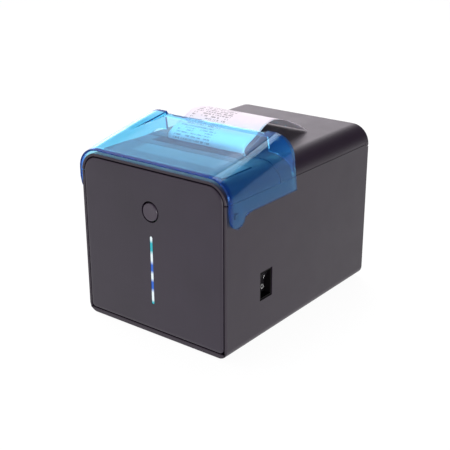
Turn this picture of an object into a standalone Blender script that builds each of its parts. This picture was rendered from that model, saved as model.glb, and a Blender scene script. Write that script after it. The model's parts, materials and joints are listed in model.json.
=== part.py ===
"""Receipt printer: case, paper lid, splash cover, print mechanism, cutter, roll and board.

Metres, +Z up. The front faces -Y and the origin is on the floor under the middle of the printer.
"""
from math import cos, hypot, pi, radians, sin

import bmesh
import bpy
from mathutils import Matrix, Vector

# ---------------------------------------------------------------- driving dimensions
CASE_WIDTH = 0.148
CASE_DEPTH = 0.207
CASE_HEIGHT = 0.1424
WALL = 0.0024
FOOT_HEIGHT = 0.002
TOP_RADIUS = 0.0165
BOTTOM_RADIUS = 0.008
PARTING_HEIGHT = 0.1262         # parting line above the case's underside
PARTING_GAP = 0.0004
CLEARANCE = 0.0003              # between pieces that touch
RUNNING = 0.0005                # between pieces that slide or turn
BOTTOM_RIM = 0.004

PANEL_GAP = 0.0008
PANEL_THICKNESS = 0.0025
PANEL_SKIRT = 0.008
PANEL_BOTTOM_RADIUS = 0.004
RIM_SETBACK = 0.0006            # front rim of the case behind the panel's face
BUTTON_HEIGHT = 0.1062          # above the case's underside
BUTTON_RADIUS = 0.0082
BUTTON_TRAVEL = 0.0012
LIGHT_WIDTH = 0.0022
LIGHT_LOW = 0.0275
LIGHT_HIGH = 0.0857

SLOT_FROM_FRONT = 0.0686        # paper slot, from the front face
SLOT_WIDTH = 0.0012
ACCESS_WIDTH = 0.124
ACCESS_FRONT = 0.011
ACCESS_BACK = 0.048

HOOD_WALL = 0.0018
HOOD_SIDE_GAP = 0.0012          # between the hood's side and the case's side
HOOD_FRONT_RISE = 0.0029        # hood's top above the case's top at its front edge
HOOD_FRONT = 0.0017             # front edge, from the front face
HOOD_LENGTH = 0.0868            # along the side's lower edge
HOOD_SLOPE = 0.184              # rise of the middle panel per unit of depth
HOOD_SHOULDER_SLOPE = 0.239     # rise of the shoulders behind the crease
HOOD_CREASE_START = 0.044       # where the shoulders part from the middle panel, from the front face
HOOD_CREASE_INSET = 0.0208       # from the hood's side to the crease
HOOD_CREASE_TAPER = 0.15         # inward lean of the crease per unit of depth
HOOD_REAR_LEAN = 0.15           # forward lean of the rear edge per unit of height
HOOD_SIDE_HEIGHT = 0.116        # lower edge of the sides, above the case's underside
HOOD_EAR_HEIGHT = 0.1071        # lowest point of the ears
HOOD_PIVOT_Y = 0.0115           # from the front face
HOOD_PIN_RADIUS = 0.0025
HOOD_PIN_SEAT = 0.0017          # depth of the pin's hole in the case's side
HOOD_SKIN = 0.0006              # left over the pin's end in the hood's ear
HOOD_MOUTH = 0.106              # width of the paper's way out under the hood

SWITCH_Y = 0.0522               # centre of the switch, from the front face
SWITCH_Z = 0.0468
SWITCH_WIDTH = 0.0165
SWITCH_TALL = 0.0245
SWITCH_DEPTH = 0.018
ROCKER_TILT = 20.0              # degrees between off and on

PAPER_WIDTH = 0.0796
PAPER_THICKNESS = 0.0003
ROLL_RADIUS = 0.040
ROLL_Y = 0.139                  # from the front face
ROLL_HEIGHT = 0.088             # roll axis above the case's underside
CORE_RADIUS = 0.009
CORE_WALL = 0.0018
BUCKET_RADIUS = 0.0425
BUCKET_WALL = 0.002
DECK_HEIGHT = 0.104             # deck's underside above the case's underside
DECK_THICKNESS = 0.0025

PLATEN_RADIUS = 0.007
PLATEN_SHAFT_RADIUS = 0.0025
PLATEN_HEIGHT = 0.1265          # platen axis above the case's underside
CHASSIS_INNER = 0.046           # half the inside width of the mechanism's frame
SHEET = 0.0015                  # steel sheet
HEAD_THICKNESS = 0.004
HEAD_HEIGHT = 0.013
HEAD_BLADE_GAP = 0.0008         # between the head's top and the moving blade

GEAR_MODULE = 0.0008
PLATEN_TEETH = 18
IDLER_TEETH = 30
PINION_TEETH = 14
GEAR_WIDTH = 0.004

HINGE_RADIUS = 0.0022
HINGE_PIN_RADIUS = 0.0009
HINGE_X = 0.044                 # middle of each knuckle
HINGE_HALF = 0.0045
HINGE_PIN_LENGTH = 0.024

BLADE_THICKNESS = 0.0015
BLADE_STROKE = 0.007
CUTTER_TEETH = 12
BOARD_THICKNESS = 0.0016

# ---------------------------------------------------------------- places worked out from them
FRONT = -CASE_DEPTH / 2
REAR = CASE_DEPTH / 2
HALF = CASE_WIDTH / 2
HOOD_WIDTH = CASE_WIDTH + 2 * (HOOD_WALL + HOOD_SIDE_GAP)
BASE = FOOT_HEIGHT
TOP = BASE + CASE_HEIGHT
PARTING = BASE + PARTING_HEIGHT
RIM_FRONT = FRONT + RIM_SETBACK
INNER = HALF - WALL
SLOT_Y = FRONT + SLOT_FROM_FRONT
LID_FRONT = SLOT_Y + SLOT_WIDTH / 2
COVER_BACK = SLOT_Y - SLOT_WIDTH / 2
HINGE_Y = REAR - HINGE_RADIUS
HINGE_Z = PARTING + PARTING_GAP
DECK = BASE + DECK_HEIGHT
DECK_TOP = DECK + DECK_THICKNESS
ROLL_CENTRE = (FRONT + ROLL_Y, BASE + ROLL_HEIGHT)
PLATEN = (SLOT_Y + PLATEN_RADIUS + PAPER_THICKNESS, BASE + PLATEN_HEIGHT)
PIVOT = (FRONT + HOOD_PIVOT_Y, BASE + HOOD_SIDE_HEIGHT)
BUTTON_Z = BASE + BUTTON_HEIGHT
SWITCH = (FRONT + SWITCH_Y, BASE + SWITCH_Z)
PANEL_BACK = FRONT + PANEL_THICKNESS
BLADE_Z = PLATEN[1] + PLATEN_RADIUS + CLEARANCE
ARC_STEPS = 8
ROUND = 32

AXES = {
    "X": Matrix(((0, 0, 1), (1, 0, 0), (0, 1, 0))),     # outline in Y, Z
    "Y": Matrix(((1, 0, 0), (0, 0, -1), (0, 1, 0))),    # outline in X, Z
    "Z": Matrix.Identity(3),                            # outline in X, Y
}

for old in list(bpy.data.objects):
    bpy.data.objects.remove(old, do_unlink=True)

scene = bpy.context.scene
parts = bpy.data.collections.new("receipt_printer")
cutters = bpy.data.collections.new("cutters")
for group in (parts, cutters):
    scene.collection.children.link(group)


# ---------------------------------------------------------------- materials
def material(name, colour, roughness, metallic=0.0, alpha=1.0):
    made = bpy.data.materials.new(name)
    made.use_nodes = True
    shader = made.node_tree.nodes["Principled BSDF"]
    shader.inputs["Base Color"].default_value = (*colour, 1.0)
    shader.inputs["Roughness"].default_value = roughness
    shader.inputs["Metallic"].default_value = metallic
    shader.inputs["Alpha"].default_value = alpha
    return made


CASE = material("case_plastic", (0.075, 0.064, 0.075), 0.45)
PANEL = material("panel_plastic", (0.068, 0.058, 0.068), 0.40)
HOOD = material("hood_plastic", (0.10, 0.45, 0.80), 0.08, alpha=0.4)
LIGHT = material("light_guide", (0.55, 0.85, 1.0), 0.20)
BLACK = material("black_plastic", (0.02, 0.02, 0.022), 0.40)
RUBBER = material("black_rubber", (0.03, 0.03, 0.03), 0.75)
STEEL = material("steel", (0.56, 0.57, 0.58), 0.30, 1.0)
ALUMINIUM = material("aluminium", (0.70, 0.71, 0.72), 0.35, 1.0)
PAPER = material("thermal_paper", (0.93, 0.90, 0.94), 0.55)
CARD = material("grey_card", (0.45, 0.40, 0.33), 0.85)
GEARS = material("white_nylon", (0.85, 0.85, 0.82), 0.45)
BOARD = material("board_green", (0.02, 0.16, 0.07), 0.40)


# ---------------------------------------------------------------- modelling helpers
def add(name, mesh, finish=None):
    """An object in the printer's collection, or a hidden cutter where no finish is given."""
    piece = bpy.data.objects.new(name, mesh)
    if finish is None:
        cutters.objects.link(piece)
        piece.hide_render = True
        piece.display_type = "WIRE"
    else:
        parts.objects.link(piece)
        mesh.materials.append(finish)
    return piece


def box(name, low, high, finish=None):
    """A block between two corners."""
    low, high = Vector(low), Vector(high)
    mesh = bpy.data.meshes.new(name)
    shape = bmesh.new()
    bmesh.ops.create_cube(shape, size=1.0)
    bmesh.ops.scale(shape, vec=high - low, verts=shape.verts)
    shape.to_mesh(mesh)
    shape.free()
    piece = add(name, mesh, finish)
    piece.location = (low + high) / 2
    return piece


def rod(name, radius, low, high, axis, centre, finish=None, steps=ROUND):
    """A cylinder from low to high along an axis."""
    mesh = bpy.data.meshes.new(name)
    shape = bmesh.new()
    bmesh.ops.create_cone(shape, cap_ends=True, segments=steps, radius1=radius, radius2=radius,
                          depth=high - low)
    shape.to_mesh(mesh)
    shape.free()
    mesh.shade_smooth()
    mesh.set_sharp_from_angle(angle=radians(40))
    piece = add(name, mesh, finish)
    turn = AXES[axis]
    middle = (low + high) / 2
    if axis == "Y":
        middle = -middle
    piece.matrix_world = turn.to_4x4() @ Matrix.Translation((centre[0], centre[1], middle))
    return piece


def prism(name, outline, low, high, axis, finish=None, holes=()):
    """A flat outline made solid from low to high along an axis."""
    flat = bpy.data.curves.new(name, "CURVE")
    flat.dimensions = "2D"
    flat.fill_mode = "BOTH"
    flat.extrude = (high - low) / 2
    for loop in (outline, *holes):
        spline = flat.splines.new("POLY")
        spline.points.add(len(loop) - 1)
        spline.use_cyclic_u = True
        for point, (a, b) in zip(spline.points, loop):
            point.co = (a, b, 0.0, 1.0)
    guide = bpy.data.objects.new(name, flat)
    scene.collection.objects.link(guide)
    bpy.context.view_layer.update()
    solid = guide.evaluated_get(bpy.context.evaluated_depsgraph_get())
    mesh = bpy.data.meshes.new_from_object(solid)
    bpy.data.objects.remove(guide, do_unlink=True)
    shape = bmesh.new()
    shape.from_mesh(mesh)
    bmesh.ops.remove_doubles(shape, verts=shape.verts, dist=1e-6)
    bmesh.ops.recalc_face_normals(shape, faces=shape.faces)
    shape.to_mesh(mesh)
    shape.free()
    mesh.materials.clear()
    piece = add(name, mesh, finish)
    middle = (low + high) / 2
    if axis == "Y":
        middle = -middle
    piece.matrix_world = AXES[axis].to_4x4() @ Matrix.Translation((0, 0, middle))
    return piece


def loft(name, sections, finish=None):
    """A closed solid through sections of equal point count, capped at both ends."""
    mesh = bpy.data.meshes.new(name)
    shape = bmesh.new()
    rings = [[shape.verts.new(point) for point in section] for section in sections]
    count = len(rings[0])
    for ring, following in zip(rings, rings[1:]):
        for i in range(count):
            j = (i + 1) % count
            shape.faces.new((ring[i], ring[j], following[j], following[i]))
    for end in (rings[0], rings[-1]):
        shape.faces.new(end)
    bmesh.ops.triangulate(shape, faces=shape.faces)
    bmesh.ops.recalc_face_normals(shape, faces=shape.faces)
    shape.to_mesh(mesh)
    shape.free()
    return add(name, mesh, finish)


def combine(piece, operation, *others):
    """Boolean steps on a piece: each other object cuts it, joins it or limits it."""
    for other in others:
        if other.name in parts.objects:
            parts.objects.unlink(other)
            cutters.objects.link(other)
            other.hide_render = True
            other.display_type = "WIRE"
        step = piece.modifiers.new(other.name, "BOOLEAN")
        step.operation = operation
        step.object = other
        step.solver = "EXACT"
    return piece


def cut(piece, *others):
    return combine(piece, "DIFFERENCE", *others)


def join(piece, *others):
    return combine(piece, "UNION", *others)


def round_edges(piece, width, steps=2, angle=40):
    edge = piece.modifiers.new("edges", "BEVEL")
    edge.width = width
    edge.segments = steps
    edge.limit_method = "ANGLE"
    edge.angle_limit = radians(angle)
    return piece


def arc(centre, radius, start, end, steps=ARC_STEPS):
    """Points of an arc, angles in degrees."""
    return [(centre[0] + radius * cos(radians(start + (end - start) * i / steps)),
             centre[1] + radius * sin(radians(start + (end - start) * i / steps)))
            for i in range(steps + 1)]


def rounded(low, high, bottom, top, steps=ARC_STEPS):
    """A rectangle's outline with one radius for its lower corners and one for its upper ones."""
    (a0, b0), (a1, b1) = low, high
    points = []
    corners = (((a1, b0), bottom, -90, (-1, 1)), ((a1, b1), top, 0, (-1, -1)),
               ((a0, b1), top, 90, (1, -1)), ((a0, b0), bottom, 180, (1, 1)))
    for (a, b), radius, start, (da, db) in corners:
        if radius > 0:
            points += arc((a + da * radius, b + db * radius), radius, start, start + 90, steps)
        else:
            points.append((a, b))
    return points


def gear_outline(teeth, centre, phase=0.0):
    """Outline of a spur gear: pitch radius from the module, straight-sided teeth with backlash."""
    pitch = GEAR_MODULE * teeth / 2
    root, tip = pitch - 1.15 * GEAR_MODULE, pitch + 0.85 * GEAR_MODULE
    pace = 2 * pi / teeth
    points = []
    for i in range(teeth):
        middle = phase + i * pace
        for radius, offset in ((root, -0.27), (tip, -0.11), (tip, 0.11), (root, 0.27)):
            angle = middle + offset * pace
            points.append((centre[0] + radius * cos(angle), centre[1] + radius * sin(angle)))
    return points


def carry(axis_name, place, pieces):
    """An empty on a joint's axis, which carries the pieces that move on it."""
    pivot = bpy.data.objects.new(axis_name, None)
    parts.objects.link(pivot)
    pivot.location = place
    bpy.context.view_layer.update()
    for piece in pieces:
        piece.parent = pivot
        piece.matrix_parent_inverse = pivot.matrix_world.inverted()


# ---------------------------------------------------------------- case
def body_outline(inset, low, high=TOP):
    """Section of the case, inset from its outside, between two heights."""
    top = high - inset if high == TOP else high
    bottom_radius = BOTTOM_RADIUS - inset if low == BASE else 0
    top_radius = TOP_RADIUS - inset if high == TOP else 0
    return rounded((-HALF + inset, low), (HALF - inset, top), max(bottom_radius, 0), top_radius)


SCREW_PLACES = [(x, y) for x in (-HALF + 0.014, HALF - 0.014) for y in (FRONT + 0.020, REAR - 0.020)]
SCREW_RADIUS = 0.0015
SCREW_HEAD = 0.003
BASE_INSET = 0.008
BASE_TOP = BASE + 0.0058
BASE_FRONT = FRONT + PANEL_SKIRT + 0.004
SOCKETS = (                     # name, centre x, width, height
    ("power_jack", -0.046, 0.014, 0.012),
    ("usb_port", -0.019, 0.013, 0.0115),
    ("network_port", 0.008, 0.0165, 0.0135),
    ("drawer_port", 0.036, 0.0145, 0.0125),
)
BOARD_BOTTOM = BASE + 0.010
BOARD_TOP = BOARD_BOTTOM + BOARD_THICKNESS
SOCKET_BOTTOM = BOARD_TOP + CLEARANCE


def make_case():
    shell = prism("case_shell", body_outline(0, BASE, PARTING), RIM_FRONT, REAR, "Y", CASE)
    inside = box("case_inside", (-INNER, FRONT - 0.01, BASE + BOTTOM_RIM), (INNER, REAR - WALL, TOP))
    floor_way = box("case_floor_way", (-HALF + BASE_INSET, BASE_FRONT, BASE - 0.01),
                    (HALF - BASE_INSET, REAR - 0.006, BASE + 0.01))
    hinge_room = box("case_hinge_room", (-HALF - 0.01, HINGE_Y - HINGE_RADIUS - CLEARANCE,
                                         HINGE_Z - HINGE_RADIUS - CLEARANCE),
                     (HALF + 0.01, REAR + 0.01, TOP))
    cut(shell, inside, floor_way, hinge_room)

    window = box("switch_window", (INNER - 0.01, SWITCH[0] - SWITCH_WIDTH / 2, SWITCH[1] - SWITCH_TALL / 2),
                 (HALF + 0.01, SWITCH[0] + SWITCH_WIDTH / 2, SWITCH[1] + SWITCH_TALL / 2))
    cut(shell, window)
    for name, x, width, height in SOCKETS:
        edge = RUNNING
        hole = box(name + "_window", (x - width / 2 - edge, REAR - 0.01, SOCKET_BOTTOM - edge),
                   (x + width / 2 + edge, REAR + 0.01, SOCKET_BOTTOM + height + edge))
        cut(shell, hole)

    for i, (x, y) in enumerate(SCREW_PLACES):
        side = 1 if x > 0 else -1
        boss = rod(f"case_boss_{i}", 0.004, BASE_TOP + 0.002 + CLEARANCE, BASE + 0.026, "Z", (x, y))
        rib = box(f"case_rib_{i}", (min(x, side * (HALF - WALL / 2)), y - 0.001, BASE_TOP + 0.003),
                  (max(x, side * (HALF - WALL / 2)), y + 0.001, BASE + 0.024))
        bore = rod(f"case_bore_{i}", SCREW_RADIUS + CLEARANCE, BASE, BASE + 0.022, "Z", (x, y), steps=16)
        join(shell, boss, rib)
        cut(shell, bore)

    ledge_low = DECK - CLEARANCE - 0.003
    for side in (-1, 1):
        low_x, high_x = sorted((side * (INNER - 0.003), side * (HALF - WALL / 2)))
        ledge = box(f"case_ledge_{side}", (low_x, FRONT + 0.03, ledge_low),
                    (high_x, REAR - WALL / 2, DECK - CLEARANCE))
        join(shell, ledge)
        low_x, high_x = sorted((side * (HALF - HOOD_PIN_SEAT), side * (HALF + 0.01)))
        pin_hole = rod(f"case_pin_hole_{side}", HOOD_PIN_RADIUS + CLEARANCE, low_x, high_x, "X", PIVOT,
                       steps=24)
        cut(shell, pin_hole)

    for side in (-1, 1):
        x = side * HINGE_X
        knuckle = rod(f"case_knuckle_{side}", HINGE_RADIUS, x - HINGE_HALF, x + HINGE_HALF, "X",
                      (HINGE_Y, HINGE_Z), steps=20)
        neck = box(f"case_neck_{side}", (x - HINGE_HALF, REAR - WALL + 0.0002, HINGE_Z - 0.006),
                   (x + HINGE_HALF, REAR - 0.0001, HINGE_Z - HINGE_RADIUS * 0.3))
        bore = rod(f"case_hinge_bore_{side}", HINGE_PIN_RADIUS + CLEARANCE, x - 0.006, x + 0.006, "X",
                   (HINGE_Y, HINGE_Z), steps=12)
        join(shell, neck, knuckle)
        cut(shell, bore)
    return shell


def make_base():
    low = BASE + CLEARANCE
    inner = BASE_INSET + RUNNING
    plate = box("base_plate", (-HALF + inner, BASE_FRONT + RUNNING, low),
                (HALF - inner, REAR - 0.006 - RUNNING, BASE_TOP), BLACK)
    flange_low = BASE + BOTTOM_RIM + CLEARANCE
    flange = box("base_flange", (-INNER + RUNNING, FRONT + PANEL_SKIRT + RUNNING, flange_low),
                 (INNER - RUNNING, REAR - WALL - RUNNING, BASE_TOP + 0.002))
    pocket = box("base_pocket", (-HALF + inner + 0.0125, FRONT + 0.029, low + 0.0025),
                 (HALF - inner - 0.0125, REAR - 0.0275, TOP))
    join(plate, flange)
    cut(plate, pocket)
    for i, (x, y) in enumerate(SCREW_PLACES):
        head = rod(f"base_head_{i}", SCREW_HEAD + RUNNING, BASE - 0.01, BASE + 0.0025, "Z", (x, y),
                   steps=20)
        hole = rod(f"base_hole_{i}", SCREW_RADIUS + CLEARANCE, BASE, BASE + 0.02, "Z", (x, y), steps=16)
        cut(plate, head, hole)
    for i, (x, y) in enumerate(board_posts()):
        post = rod(f"base_post_{i}", 0.003, low + 0.001, BOARD_BOTTOM - CLEARANCE, "Z", (x, y), steps=16)
        bore = rod(f"base_post_bore_{i}", 0.0015, low + 0.003, BOARD_TOP, "Z", (x, y), steps=12)
        join(plate, post)
        cut(plate, bore)
    return plate


def make_base_screws():
    head_top = BASE + 0.0025 - CLEARANCE
    for i, (x, y) in enumerate(SCREW_PLACES):
        head = rod(f"base_screw_{i + 1}", SCREW_HEAD, head_top - 0.0016, head_top, "Z", (x, y), STEEL,
                   steps=20)
        shank = rod(f"screw_shank_{i}", SCREW_RADIUS, head_top - 0.0008, BASE + 0.020, "Z", (x, y),
                    steps=12)
        join(head, shank)


def make_feet():
    places = [(x, y) for x in (-HALF + 0.026, HALF - 0.026) for y in (FRONT + 0.03, REAR - 0.03)]
    for i, place in enumerate(places):
        rod(f"rubber_foot_{i + 1}", 0.0075, 0.0, FOOT_HEIGHT, "Z", place, RUBBER, steps=24)


def upper_shell(name, front, back, inner_back):
    """Arch above the parting line, open inside up to inner_back."""
    low = PARTING + PARTING_GAP
    shell = prism(name, body_outline(0, PARTING - 0.02), front, back, "Y", CASE)
    inside = prism(name + "_inside", body_outline(WALL, PARTING - 0.03), front - 0.01, inner_back, "Y")
    below = box(name + "_below", (-CASE_WIDTH, -CASE_DEPTH, 0), (CASE_WIDTH, CASE_DEPTH, low))
    return cut(shell, inside, below)


def make_top_cover():
    cover = upper_shell("top_front_cover", RIM_FRONT, COVER_BACK, COVER_BACK + 0.01)
    opening = box("access_opening", (-ACCESS_WIDTH / 2, FRONT + ACCESS_FRONT, TOP - 0.01),
                  (ACCESS_WIDTH / 2, FRONT + ACCESS_BACK, TOP + 0.01))
    return cut(cover, opening)


def make_access_cover():
    edge = CLEARANCE + 0.0001
    thick = WALL - 0.0004
    half = ACCESS_WIDTH / 2 - edge
    plate = box("cutter_access_cover", (-half, FRONT + ACCESS_FRONT + edge, TOP - thick),
                (half, FRONT + ACCESS_BACK - edge, TOP), CASE)
    for side in (-1, 1):
        x = side * (half - 0.006)
        leg = box(f"access_leg_{side}",
                  (x - 0.003, FRONT + ACCESS_FRONT + edge + 0.001, TOP - WALL - 0.0025),
                  (x + 0.003, FRONT + ACCESS_BACK - edge - 0.001, TOP - thick / 2))
        hook = box(f"access_hook_{side}", (x - 0.003, FRONT + ACCESS_FRONT - 0.002, TOP - WALL - 0.0025),
                   (x + 0.003, FRONT + ACCESS_BACK + 0.002, TOP - WALL - CLEARANCE))
        join(plate, leg, hook)
    return plate


def make_front_panel():
    edge = WALL + PANEL_GAP
    low = BASE + BOTTOM_RIM + PANEL_GAP
    outline = rounded((-HALF + edge, low), (HALF - edge, TOP - edge), PANEL_BOTTOM_RADIUS,
                      TOP_RADIUS - edge)
    panel = prism("front_panel", outline, FRONT, FRONT + PANEL_SKIRT, "Y", PANEL)
    skirt = edge + 0.0016
    hollow = prism("panel_hollow", rounded((-HALF + skirt, low + 0.0016), (HALF - skirt, TOP - skirt),
                                           PANEL_BOTTOM_RADIUS - 0.0016, TOP_RADIUS - skirt),
                   PANEL_BACK, FRONT + PANEL_SKIRT + 0.01, "Y")
    hole = rod("button_hole", BUTTON_RADIUS + RUNNING, FRONT - 0.01, PANEL_BACK + 0.01, "Y", (0, BUTTON_Z),
               steps=40)
    slit = prism("light_slit", light_outline(CLEARANCE), FRONT - 0.01, PANEL_BACK + 0.01, "Y")
    cut(panel, hollow, hole, slit)
    for i, (x, z) in enumerate(PANEL_POSTS):
        post = rod(f"panel_post_{i}", 0.0022, PANEL_BACK - 0.001, panel_board_front() - CLEARANCE, "Y",
                   (x, z), steps=16)
        join(panel, post)
    return panel


def light_outline(grow):
    half = LIGHT_WIDTH / 2 + grow
    return rounded((-half, BASE + LIGHT_LOW - grow), (half, BASE + LIGHT_HIGH + grow), half, half, steps=6)


def make_light():
    bar = prism("led_light_bar", light_outline(0), FRONT + 0.0002, PANEL_BACK + 0.0015, "Y", LIGHT)
    flange = prism("light_flange", light_outline(0.0018), PANEL_BACK + CLEARANCE, PANEL_BACK + 0.0014, "Y")
    return join(bar, flange)


def make_button():
    face = FRONT + 0.0006
    button = rod("feed_button", BUTTON_RADIUS, face, PANEL_BACK + 0.002, "Y", (0, BUTTON_Z), PANEL,
                 steps=40)
    flange = rod("button_flange", BUTTON_RADIUS + 0.0016, PANEL_BACK + CLEARANCE, PANEL_BACK + 0.0018, "Y",
                 (0, BUTTON_Z), steps=40)
    stem = rod("button_stem", 0.002, PANEL_BACK + 0.001,
               panel_board_front() - 0.0035 - BUTTON_TRAVEL - CLEARANCE, "Y", (0, BUTTON_Z), steps=16)
    dish = bpy.data.meshes.new("button_dish")
    ball = bmesh.new()
    ball_radius = 0.060
    bmesh.ops.create_uvsphere(ball, u_segments=48, v_segments=96, radius=ball_radius)
    ball.to_mesh(dish)
    ball.free()
    hollow = add("button_dish", dish)
    hollow.location = (0, face - ball_radius + 0.0006, BUTTON_Z)
    hollow.rotation_euler = (pi / 2, 0, 0)
    join(button, flange, stem)
    return cut(button, hollow)


PANEL_POSTS = [(x, z) for x in (-0.0105, 0.0105)
               for z in (BASE + LIGHT_LOW + 0.006, BASE + LIGHT_HIGH + 0.004)]


def panel_board_front():
    return PANEL_BACK + 0.0105


def make_panel_board():
    front = panel_board_front()
    board = box("panel_board", (-0.014, front, BASE + LIGHT_LOW - 0.004),
                (0.014, front + BOARD_THICKNESS, BUTTON_Z + 0.012), BOARD)
    switch = box("tact_switch", (-0.003, front - 0.0035, BUTTON_Z - 0.003),
                 (0.003, front + 0.0005, BUTTON_Z + 0.003))
    join(board, switch)
    lamps = 6
    for i in range(lamps):
        z = BASE + LIGHT_LOW + (LIGHT_HIGH - LIGHT_LOW) * (i + 0.5) / lamps
        lamp = box(f"lamp_{i}", (-0.0018, front - 0.0012, z - 0.0015), (0.0018, front + 0.0005, z + 0.0015))
        join(board, lamp)
    return board


# ---------------------------------------------------------------- lid and its hinge
def make_lid():
    lid = upper_shell("rear_lid", LID_FRONT, REAR, REAR - WALL)
    barrel = rod("lid_barrel", HINGE_RADIUS, -HALF, HALF, "X", (HINGE_Y, HINGE_Z), steps=20)
    join(lid, barrel)
    for side in (-1, 1):
        x = side * HINGE_X
        gap = box(f"lid_knuckle_gap_{side}", (x - HINGE_HALF - CLEARANCE, HINGE_Y - 0.004, HINGE_Z - 0.004),
                  (x + HINGE_HALF + CLEARANCE, REAR + 0.01, HINGE_Z + HINGE_RADIUS + RUNNING))
        bore = rod(f"lid_bore_{side}", HINGE_PIN_RADIUS + CLEARANCE, x - HINGE_PIN_LENGTH / 2 - RUNNING,
                   x + HINGE_PIN_LENGTH / 2 + RUNNING, "X", (HINGE_Y, HINGE_Z), steps=12)
        cut(lid, gap, bore)
        rib_x = side * (HALF - 0.016)
        rib = box(f"lid_rib_{side}", (rib_x - 0.0008, LID_FRONT + 0.012, TOP - WALL - 0.006),
                  (rib_x + 0.0008, REAR - WALL / 2, TOP - WALL / 2))
        join(lid, rib)
    return lid


def make_lid_pins():
    half = HINGE_PIN_LENGTH / 2
    for side, name in ((-1, "lid_hinge_pin_left"), (1, "lid_hinge_pin_right")):
        x = side * HINGE_X
        rod(name, HINGE_PIN_RADIUS, x - half, x + half, "X", (HINGE_Y, HINGE_Z), STEEL, steps=12)


# ---------------------------------------------------------------- splash cover
def hood_section(depth, inset):
    """Section of the hood at a distance from the front face: points (x, z) from side to side."""
    middle = TOP + HOOD_FRONT_RISE + HOOD_SLOPE * (depth - HOOD_FRONT)
    rise = max(0.0, depth - HOOD_CREASE_START) * (HOOD_SHOULDER_SLOPE - HOOD_SLOPE)
    shoulder = middle + rise
    half = HOOD_WIDTH / 2 - inset
    radius = TOP_RADIUS + 0.001 - inset
    crease = HOOD_WIDTH / 2 - HOOD_CREASE_INSET - max(0.0, depth - HOOD_CREASE_START) * HOOD_CREASE_TAPER
    top = shoulder - inset
    right = [(half, BASE + 0.08)]
    right += arc((half - radius, top - radius), radius, 0, 90, 10)
    right += [(crease + 0.002, top), (crease, middle - inset)]
    return right + [(-x, z) for x, z in reversed(right)]


def hood_rear(z):
    """Depth of the slanted rear edge at a height."""
    return FRONT + HOOD_FRONT + HOOD_LENGTH - HOOD_REAR_LEAN * (z - BASE - HOOD_SIDE_HEIGHT)


def make_hood():
    depths = (-0.004, HOOD_CREASE_START, HOOD_LENGTH + 0.006)
    shell = loft("splash_cover", [[(x, FRONT + d, z) for x, z in hood_section(d, 0)] for d in depths], HOOD)
    inner_depths = (-0.008, HOOD_CREASE_START)
    sections = [[(x, FRONT + d, z) for x, z in hood_section(d, HOOD_WALL)] for d in inner_depths]
    last = hood_section(HOOD_LENGTH - 0.004, HOOD_WALL)
    sections.append([(x, hood_rear(z) - HOOD_WALL, z) for x, z in last])
    for section in sections:
        section[0] = (section[0][0], section[0][1], BASE + 0.06)
        section[-1] = (section[-1][0], section[-1][1], BASE + 0.06)
    hollow = loft("hood_hollow", sections)

    side_z = BASE + HOOD_SIDE_HEIGHT
    ear_z = BASE + HOOD_EAR_HEIGHT
    ear = arc((PIVOT[0], side_z), side_z - ear_z, 180 + 15, 360 - 15, 10)
    high = TOP + 0.05
    outline = [(FRONT + HOOD_FRONT, high), (FRONT + HOOD_FRONT, side_z + 0.004), *ear,
               (PIVOT[0] + 0.0145, side_z), (hood_rear(side_z), side_z), (hood_rear(high), high)]
    side = prism("hood_side", outline, -HALF - 0.05, HALF + 0.05, "X")
    combine(shell, "INTERSECT", side)

    gap_side, gap_top = HOOD_SIDE_GAP - 0.0001, 0.0021
    room = prism("hood_body_room", rounded((-HALF - gap_side, BASE), (HALF + gap_side, TOP + gap_top), 0,
                                           TOP_RADIUS + gap_side), FRONT - 0.02, REAR, "Y")
    mouth_top = TOP + HOOD_FRONT_RISE + HOOD_SLOPE * (HOOD_LENGTH - HOOD_FRONT - 0.006) - HOOD_WALL - 0.0016
    mouth = box("hood_mouth", (-HOOD_MOUTH / 2, FRONT + HOOD_LENGTH - 0.0125, TOP - 0.02),
                (HOOD_MOUTH / 2, REAR, mouth_top))
    cut(shell, hollow, room, mouth)
    for side in (-1, 1):
        low_x, high_x = sorted((side * HALF, side * (HOOD_WIDTH / 2 - HOOD_SKIN)))
        bore = rod(f"hood_bore_{side}", HOOD_PIN_RADIUS + CLEARANCE, low_x, high_x, "X", PIVOT, steps=24)
        cut(shell, bore)
    return shell


def make_hood_pins():
    for side, name in ((-1, "splash_hinge_pin_left"), (1, "splash_hinge_pin_right")):
        low_x, high_x = sorted((side * (HALF - HOOD_PIN_SEAT + CLEARANCE),
                                side * (HOOD_WIDTH / 2 - HOOD_SKIN - CLEARANCE)))
        rod(name, HOOD_PIN_RADIUS, low_x, high_x, "X", PIVOT, BLACK, steps=24)


# ---------------------------------------------------------------- power switch
def make_switch():
    y, z = SWITCH
    half_y, half_z = SWITCH_WIDTH / 2 - CLEARANCE, SWITCH_TALL / 2 - CLEARANCE
    face = HALF - 0.0006
    back = HALF - SWITCH_DEPTH
    housing = box("switch_housing", (back, y - half_y, z - half_z), (face, y + half_y, z + half_z), BLACK)
    flange = box("switch_flange", (INNER - 0.0022, y - half_y - 0.0022, z - half_z - 0.0022),
                 (INNER - CLEARANCE, y + half_y + 0.0022, z + half_z + 0.0022))
    rim = 0.0014
    cavity = box("switch_cavity", (back + 0.004, y - half_y + rim, z - half_z + rim),
                 (HALF + 0.01, y + half_y - rim, z + half_z - rim))
    join(housing, flange)
    return cut(housing, cavity)


def rocker_axis():
    """The rocker's pivot, x and z."""
    return HALF - 0.0098, SWITCH[1]


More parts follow.
